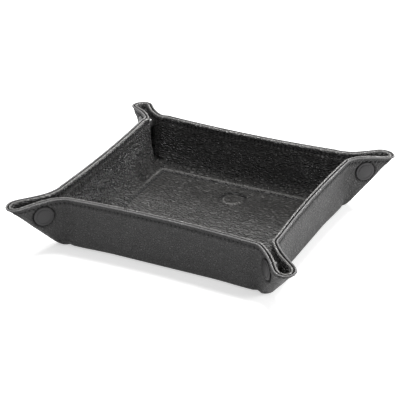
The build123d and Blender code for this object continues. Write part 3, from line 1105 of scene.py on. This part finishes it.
# How bright the painted highlights on the ridge and the dome are, how the dome's highlight narrows, and how much
# darker the painted shade on the far wall is
RIDGE_HIGHLIGHT, DOME_HIGHLIGHT, NEAR_POWER, FAR_SHARE = 0.8, 0.7, 1.5, 0.6
# Angles of the two stitches round each corner of the floor's seam
TURN_STITCHES = (math.radians(22.5), math.radians(67.5))


def fine_lines(half, seam, disc, radius):
    """Places of the floor's rows of faces, closer together at its seam and its pressing."""
    low, high = disc - radius - PRESSING_MARGIN, disc + radius + PRESSING_MARGIN
    count = round(2 * half / FLOOR_STEP)
    kept = []
    for place in sorted({round(-half + 2 * half * k / count, DECIMALS) for k in range(count + 1)}):
        near_seam = abs(abs(place) - seam + SEAM_CLEAR_SHIFT) < SEAM_CLEAR
        if not near_seam and not low < place < high:
            kept.append(place)
    kept += [low + (high - low) * k / PRESSING_STEPS for k in range(PRESSING_STEPS + 1)]
    for sign in (-1, 1):
        for k in range(SEAM_STEPS + 1):
            kept.append(sign * (seam - SEAM_BAND_START + SEAM_BAND_WIDTH * k / SEAM_STEPS))
    kept.sort()
    clean = [kept[0]]
    for place in kept[1:]:
        if place - clean[-1] > LEAST_STEP:
            clean.append(place)
    clean[0], clean[-1] = -half, half
    return clean


class TRAY_OT_floor(bpy.types.Operator):
    """Add the floor with its outer leather, pebbled lining, stitched seam and bare round pressing"""

    bl_idname = "tray.floor"
    bl_label = "Floor"

    def execute(self, context):
        form = TrayForm(context.scene)
        settings = context.scene.tray_floor
        radius = settings.disc_radius
        seam_x = form.half_x - settings.seam_inset
        seam_y = form.half_y - settings.seam_inset

        def top(x, y, away, ring):
            """Height of the floor, away from its seam and from the middle of its pressing."""
            along = x if abs(x) / seam_x < abs(y) / seam_y else y
            wave = 0.5 + 0.5 * math.cos(2 * math.pi * along / form.stitch.pitch)
            z = form.s.thickness + form.strip_rise(x, y)
            z -= SEAM_DEPTH * hump(away, 0, SEAM_SPREAD) * (1 - SEAM_WAVE + SEAM_WAVE * wave)
            border = smooth_step(form.half_x - abs(x), 0, BORDER_FADE)
            border *= smooth_step(form.half_y - abs(y), 0, BORDER_FADE)
            ridge = settings.ridge * hump(away, RIDGE_PLACE, RIDGE_SPREAD)
            z += ridge * border * (1 - RIDGE_WAVE + RIDGE_WAVE * wave)
            z += form.ease(x, y, 0) * FLOOR_UNEVEN_SHARE * border
            if ring < radius + PRESSING_REACH:
                inside = 1 - smooth_step(ring, radius - PRESSING_WALL_IN, radius + PRESSING_WALL_OUT)
                dome = DOME_HEIGHT * (1 - smooth_step(ring, radius - DOME_IN, radius - PRESSING_WALL_IN))
                lip = LIP_HEIGHT * hump(ring, radius + LIP_PLACE, LIP_SPREAD)
                z += (dome - settings.disc_depth) * inside + lip
            return z

        def marks(y, away, ring):
            """Painted highlight and painted shade on the floor: shade along the seam and on the pressing's far side,
            highlights on the ridge towards the back and on the pressing's near side.
            """
            far = 0.5 + 0.5 * (y - settings.disc_y) / max(ring, NO_LENGTH)
            shade = 1 - FAR_SHARE + FAR_SHARE * far
            dark = hump(away, 0, SEAM_SHADE_SPREAD) + hump(ring, radius, PRESSING_SHADE_SPREAD) * shade
            highlighted = RIDGE_HIGHLIGHT * hump(away, RIDGE_PLACE, RIDGE_SHINE_SPREAD) * smooth_step(y, 0.0, seam_y)
            highlighted += DOME_HIGHLIGHT * hump(ring, radius - DOME_SHINE_IN, DOME_SHINE_SPREAD) * (1 - far) ** NEAR_POWER
            return highlighted, min(dark, 1.0)

        xs = fine_lines(form.half_x, seam_x, settings.disc_x, radius)
        ys = fine_lines(form.half_y, seam_y, settings.disc_y, radius)
        piece = new_grid("floor_leather", len(xs) - 1, len(ys) - 1)
        mesh = piece.data
        for vertex in mesh.vertices:
            x, y = xs[vertex.index % len(xs)], ys[vertex.index // len(xs)]
            away = form.seam_distance(x, y)
            ring = math.hypot(x - settings.disc_x, y - settings.disc_y)
            vertex.co = (x, y, top(x, y, away, ring))
            mark(mesh, vertex, *marks(y, away, ring))
        mode("EDIT")
        cut_x, cut_y = form.half_x - form.s.crease / 2, form.half_y - form.s.crease / 2
        for sx in (-1, 1):
            for sy in (-1, 1):
                bpy.ops.mesh.select_all(action="SELECT")
                cut = {"plane_co": (sx * cut_x, sy * cut_y, 0), "plane_no": (sx, sy, 0)}
                bpy.ops.mesh.bisect(**cut, clear_outer=True, threshold=CUT_THRESHOLD)
        mode("OBJECT")
        smooth(mesh)
        for finish in ("Floor leather", "Outer leather", "Lining leather"):
            mesh.materials.append(finishes()[finish])
        for polygon in mesh.polygons:
            if form.seam_distance(*polygon.center[:2]) > 0:
                polygon.material_index = 2
        count = len(mesh.polygons)
        mode("EDIT")
        bpy.ops.mesh.select_mode(type="EDGE")
        bpy.ops.mesh.select_all(action="DESELECT")
        bpy.ops.mesh.select_non_manifold()
        bpy.ops.mesh.extrude_region_move()
        mode("OBJECT")
        for vertex in mesh.vertices:
            if vertex.select:
                vertex.co.z = 0
        mode("EDIT")
        bpy.ops.mesh.edge_face_add()
        turn_outwards()
        for polygon in mesh.polygons:
            if polygon.index >= count:
                polygon.use_smooth = False
                polygon.material_index = 1
        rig.ride(piece, "base")
        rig.replaces(piece, "base_outer", "base_lining")
        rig.slot(piece, "lining_leather")

        thread = stitch_run("floor_stitches", self.seats(form, seam_x, seam_y))
        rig.ride(thread, "base")
        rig.slot(thread, "lining_leather")
        return {"FINISHED"}

    def seats(self, form, seam_x, seam_y):
        """Seats of the stitches along the floor's seam, with two round each of its corners."""
        corner = form.floor.seam_corner
        height = form.s.thickness - FLOOR_STITCH_SINK
        upward = Vector((0, 0, 1))
        turns = [Vector((x * seam_x, y * seam_y, height)) for x, y in ((-1, -1), (1, -1), (1, 1), (-1, 1))]
        seats = []
        for start, end in zip(turns, turns[1:] + turns[:1]):
            length = (end - start).length - 2 * corner
            along = (end - start).normalized()
            inward = Vector((-along.y, along.x, 0))
            number = form.stitch_count(length)
            for k in range(number):
                seats.append((start + along * (corner + length * (k + 0.5) / number), along, upward))
            for angle in TURN_STITCHES:
                ahead, aside = math.sin(angle), math.cos(angle)
                place = end - along * corner * (1 - ahead) + inward * corner * (1 - aside)
                seats.append((place, along * aside + inward * ahead, upward))
        return seats


# Rows of faces up a bend, and faces to a stitch along a wall and along an ear
BEND_ROWS = 7
WALL_FINENESS, EAR_FINENESS = 4, 5


class TRAY_OT_walls(bpy.types.Operator):
    """Add the four walls with the bends at their feet, their turned rims and their rim stitching"""

    bl_idname = "tray.walls"
    bl_label = "Walls"

    def execute(self, context):
        form = TrayForm(context.scene)
        thick = form.s.thickness
        shares = face_shares(form)
        steps = [("foot", k / BEND_ROWS, 0.0, 0.0) for k in range(BEND_ROWS)]
        steps += [("wall", share, 0.0, 0.0) for share in shares]
        groove = len(steps) + len(EDGE_PROFILE)
        steps += [("wall", *step) for step in rim_steps(form)]
        steps += [("wall", share, thick, 0.0) for share in reversed(shares)]
        steps += [("foot", 1 - (k + 1) / BEND_ROWS, thick, 0.0) for k in range(BEND_ROWS)]
        for name in SIDES:
            side = form.side(name)
            span = side.half_length - form.s.crease
            number = form.stitch_count(2 * span)
            columns = number * WALL_FINENESS

            def place(i, j):
                x = -span + 2 * span * i / columns
                kind, share, depth, lift = steps[j]
                if kind == "foot":
                    return form.foot_place(name, x, share, depth)
                return form.wall_place(name, x, share, depth, lift)

            def dress(i, j):
                kind, share, depth, lift = steps[j]
                if kind == "foot":
                    return 0.0, 0.0
                if share == 1.0:
                    return edge_highlight(lift), groove_shade(depth, lift)
                below = (1 - share) * form.wall_rise
                phase = i / WALL_FINENESS
                return form.pucker_shine(phase, below, depth), form.seam_shade(phase, below)

            body = "wall_" + name
            bend = "bend_" + name
            piece = folded_sheet(body + "_leather", columns, len(steps) - 1, place, dress)
            turn_piece(piece, side.turns)
            dress_leather(piece, columns, groove)
            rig.blend(piece, "base", body, **form.foot_ends(name))
            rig.replaces(piece, body + "_outer", body + "_lining", bend + "_outer", bend + "_lining")
            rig.slot(piece, "outer_leather")

            seats = []
            for depth, out in ((0.0, -1), (thick, 1)):
                for k in range(number):
                    x = -span + 2 * span * (k + 0.5) / number
                    seat = form.wall_place(name, x, form.stitch_share(), depth, 0.0)
                    ahead = form.wall_place(name, x + AHEAD, form.stitch_share(), depth, 0.0)
                    along = Vector((ahead.x - seat.x, ahead.y - seat.y, 0)).normalized()
                    facing = Vector((-along.y, along.x, 0)) * out
                    seats.append((seat + facing * STAND_OFF, along, facing))
            thread = stitch_run(body + "_stitches", seats)
            turn_piece(thread, side.turns)
            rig.ride(thread, body)
            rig.slot(thread, "outer_leather")
        return {"FINISHED"}


# Rows and columns of faces of a bend under an ear, and stitches left out inside the fold edge
FOOT_ROWS, FOOT_COLUMNS = 8, 40
FOLD_STITCHES = 2
# Place and spread of the painted shadow round a snap cap, and the height up to which an ear's crease blends
CAP_SHADOW_PLACE, CAP_SHADOW_SPREAD = 0.0006, 0.0009
CREASE_HEIGHT = 0.020


class TRAY_OT_ears(bpy.types.Operator):
    """Add the four pinched ears in two halves each, with the bends at their feet and their rim stitching"""

    bl_idname = "tray.ears"
    bl_label = "Ears"

    def execute(self, context):
        form = TrayForm(context.scene)
        thick = form.s.thickness
        shares = face_shares(form)
        steps = [(share, 0.0, 0.0) for share in shares] + rim_steps(form)
        steps += [(share, thick, 0.0) for share in reversed(shares)]
        groove = len(shares) + len(EDGE_PROFILE)
        columns = form.ear_stitches() * EAR_FINENESS
        foot_steps = [(k / FOOT_ROWS, 0.0) for k in range(FOOT_ROWS + 1)]
        foot_steps += [(1 - k / FOOT_ROWS, thick) for k in range(FOOT_ROWS + 1)]

        def place(i, j):
            return form.ear_place(i / columns, *steps[j])

        def dress(i, j):
            share, depth, lift = steps[j]
            if share == 1.0:
                return edge_highlight(lift), groove_shade(depth, lift)
            along = i / columns
            below = (1 - share) * form.wall_rise
            dark = form.seam_shade(along * form.ear_stitches(), below)
            if depth == 0.0:
                # a ring of painted shadow round the snap cap on the outer face
                ring = form.s.cap_radius + CAP_SHADOW_PLACE
                dark = max(dark, hump(form.cap_distance(along, share), ring, CAP_SHADOW_SPREAD))
            return form.pucker_shine(along * form.ear_stitches(), below, depth), dark

        def foot_place(i, j):
            return form.corner_place(i / FOOT_COLUMNS, *foot_steps[j])

        def unmarked(i, j):
            return 0.0, 0.0

        def thread_seats():
            seats = []
            for depth, out in ((0.0, 1), (thick, -1)):
                count = form.ear_stitches()
                for k in range(count - FOLD_STITCHES if depth else count):
                    along = (k + 0.5) / count
                    seat = form.ear_place(along, form.stitch_share(), depth, 0.0)
                    ahead = form.ear_place(along + AHEAD_SHARE, form.stitch_share(), depth, 0.0)
                    direction = (ahead - seat).normalized()
                    facing = direction.cross(Vector((0, 0, 1))).normalized() * out
                    seats.append((seat + facing * STAND_OFF, direction, facing))
            return seats

        for corner, (long_side, short_side, sx, sy) in CORNERS.items():
            form.pick_corner(corner)
            seats = thread_seats()
            low = (sx * form.half_x, sy * form.half_y, form.rise)
            high = (sx * form.half_x, sy * form.half_y, CREASE_HEIGHT)
            for side in (long_side, short_side):
                half = corner + "_" + side
                ear, body, wall = "ear_" + half, "flap_" + half, "wall_" + side
                piece = folded_sheet(ear + "_leather", columns, len(steps) - 1, place, dress)
                foot_name = "foot_" + half + "_leather"
                foot = folded_sheet(foot_name, FOOT_COLUMNS, len(foot_steps) - 1, foot_place, unmarked)
                thread = stitch_run(ear + "_stitches", seats)
                for part in (piece, foot, thread):
                    if side == short_side:
                        swap_halves(part, form)
                    mirror_piece(part, sx, sy)
                dress_leather(piece, columns, groove)
                dress_leather(foot, FOOT_COLUMNS, FOOT_ROWS + 1)
                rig.blend(piece, wall, body, start=low, end=high)
                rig.replaces(piece, ear + "_outer", ear + "_lining")
                if side == long_side:
                    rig.replaces(piece, "ear_" + corner + "_fold")
                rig.slot(piece, "outer_leather")
                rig.ride(thread, body)
                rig.slot(thread, "outer_leather")
                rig.blend(foot, "base", wall, **form.foot_ends(side))
                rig.slot(foot, "outer_leather")
        return {"FINISHED"}


class TRAY_OT_fittings(bpy.types.Operator):
    """Give the snap pieces and the stiffening boards their finishes"""

    bl_idname = "tray.fittings"
    bl_label = "Snaps and boards"

    def execute(self, context):
        chosen = {"board": "Stiffening board", "cap": "Painted cap", "snap": "Snap metal"}
        for part in frame["record"]["subparts"]:
            finish = chosen.get(part["material_slot"])
            if finish:
                node = bpy.data.objects[part["node"]]
                node.data.materials.clear()
                node.data.materials.append(finishes()[finish])
        return {"FINISHED"}


# The table: size, how far it lies under the tray, its tone, and the light it adds where it is seen
TABLE_SIZE, TABLE_DROP, TABLE_TONE, TABLE_GLOW = 12, 0.0002, 0.80, 0.52
# Strength of the world as light, and where it is seen
WORLD_LIGHT, WORLD_SEEN = 0.44, 1.0
# Name, place, size and power of each softbox, all aimed at the tray's origin
SOFTBOXES = (
    ("Softbox above", (-0.1, 0.30, 1.35), 0.36, 18.0),
    ("Softbox behind", (-0.15, 1.3, 0.85), 0.45, 14.0),
    ("Softbox right", (1.3, 0.1, 0.6), 0.5, 10.0),
)
SENSOR_WIDTH, CLIP_START = 36, 0.05


class TRAY_OT_stage(bpy.types.Operator):
    """Add the pale floor, the soft light and the camera"""

    bl_idname = "tray.stage"
    bl_label = "Stage"

    def execute(self, context):
        scene = context.scene
        deselect()
        bpy.ops.mesh.primitive_plane_add(size=TABLE_SIZE, location=(0, 0, -TABLE_DROP))
        table = context.object
        table.name = "table"
        finish = new_finish("Table")
        tone = (TABLE_TONE, TABLE_TONE, TABLE_TONE, 1)
        lit = finish.node("ShaderNodeBsdfDiffuse", None, {"Color": tone})
        glow = finish.node("ShaderNodeEmission", None, {"Strength": finish.seen_rays() * TABLE_GLOW})
        both = finish.node("ShaderNodeAddShader", None, {0: lit, 1: glow})
        table.data.materials.append(finish.surface(both))
        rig.stage(table)

        sky = Finish(bpy.data.worlds.new("Studio"), "ShaderNodeOutputWorld")
        strength = WORLD_LIGHT + sky.seen_rays() * (WORLD_SEEN - WORLD_LIGHT)
        white = (1.0, 1.0, 1.0, 1.0)
        glow = sky.node("ShaderNodeBackground", None, {"Color": white, "Strength": strength})
        scene.world = sky.surface(glow)

        for name, place, size, power in SOFTBOXES:
            light = bpy.data.lights.new(name, "AREA")
            light.shape = "DISK"
            light.size = size
            light.energy = power
            lamp = bpy.data.objects.new(name, light)
            scene.collection.objects.link(lamp)
            lamp.location = place
            lamp.rotation_euler = (-Vector(place)).to_track_quat("-Z", "Y").to_euler()
        self.camera(scene)
        scene.view_settings.view_transform = "Standard"
        return {"FINISHED"}

    def camera(self, scene):
        stage = scene.tray_stage
        azimuth, level = stage.azimuth, math.cos(stage.elevation)
        back = Vector((math.sin(azimuth) * level, -math.cos(azimuth) * level, math.sin(stage.elevation)))
        right = Vector((math.cos(azimuth), math.sin(azimuth), 0))
        axes = Matrix((right, back.cross(right), back)).transposed()
        camera = bpy.data.cameras.new("Camera")
        camera.lens = stage.lens
        camera.sensor_width = SENSOR_WIDTH
        camera.sensor_fit = "HORIZONTAL"
        camera.clip_start = CLIP_START
        view = bpy.data.objects.new("Camera", camera)
        scene.collection.objects.link(view)
        aim = Vector((stage.aim_x, stage.aim_y, stage.aim_z))
        turn = axes @ Matrix.Rotation(stage.roll, 3, "Z")
        view.matrix_world = Matrix.Translation(aim + back * stage.distance) @ turn.to_4x4()
        scene.camera = view


class TRAY_PT_panel(bpy.types.Panel):
    """Sidebar panel that lists the tray's pieces and sizes"""

    bl_idname = "TRAY_PT_panel"
    bl_label = "Valet tray"
    bl_space_type = "VIEW_3D"
    bl_region_type = "UI"
    bl_category = "Tray"

    def draw(self, context):
        layout = self.layout
        for operator in OPERATORS:
            layout.operator(operator.bl_idname)
        for settings in ("tray_form", "tray_stitch", "tray_floor", "tray_finish", "tray_stage"):
            group = getattr(context.scene, settings)
            box = layout.box()
            for name in group.__annotations__:
                box.prop(group, name)


OPERATORS = (TRAY_OT_floor, TRAY_OT_walls, TRAY_OT_ears, TRAY_OT_fittings, TRAY_OT_stage)
SETTINGS = (
    ("tray_form", TrayFormSettings),
    ("tray_stitch", TrayStitchSettings),
    ("tray_floor", TrayFloorSettings),
    ("tray_finish", TrayFinishSettings),
    ("tray_stage", TrayStageSettings),
)


def register():
    for name, group in SETTINGS:
        bpy.utils.register_class(group)
        setattr(bpy.types.Scene, name, PointerProperty(type=group))
    for operator in OPERATORS:
        bpy.utils.register_class(operator)
    bpy.utils.register_class(TRAY_PT_panel)


def unregister():
    bpy.utils.unregister_class(TRAY_PT_panel)
    for operator in reversed(OPERATORS):
        bpy.utils.unregister_class(operator)
    for name, group in reversed(SETTINGS):
        delattr(bpy.types.Scene, name)
        bpy.utils.unregister_class(group)


def main():
    register()
    bpy.ops.tray.floor()
    bpy.ops.tray.walls()
    bpy.ops.tray.ears()
    bpy.ops.tray.fittings()
    bpy.ops.tray.stage()
    deselect()
    sizes = [[list(corner) for corner in cad_box], [list(corner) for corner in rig.bounds()]]
    with open("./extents.json", "w") as file:
        json.dump(sizes, file)


if __name__ == "__main__":
    main()
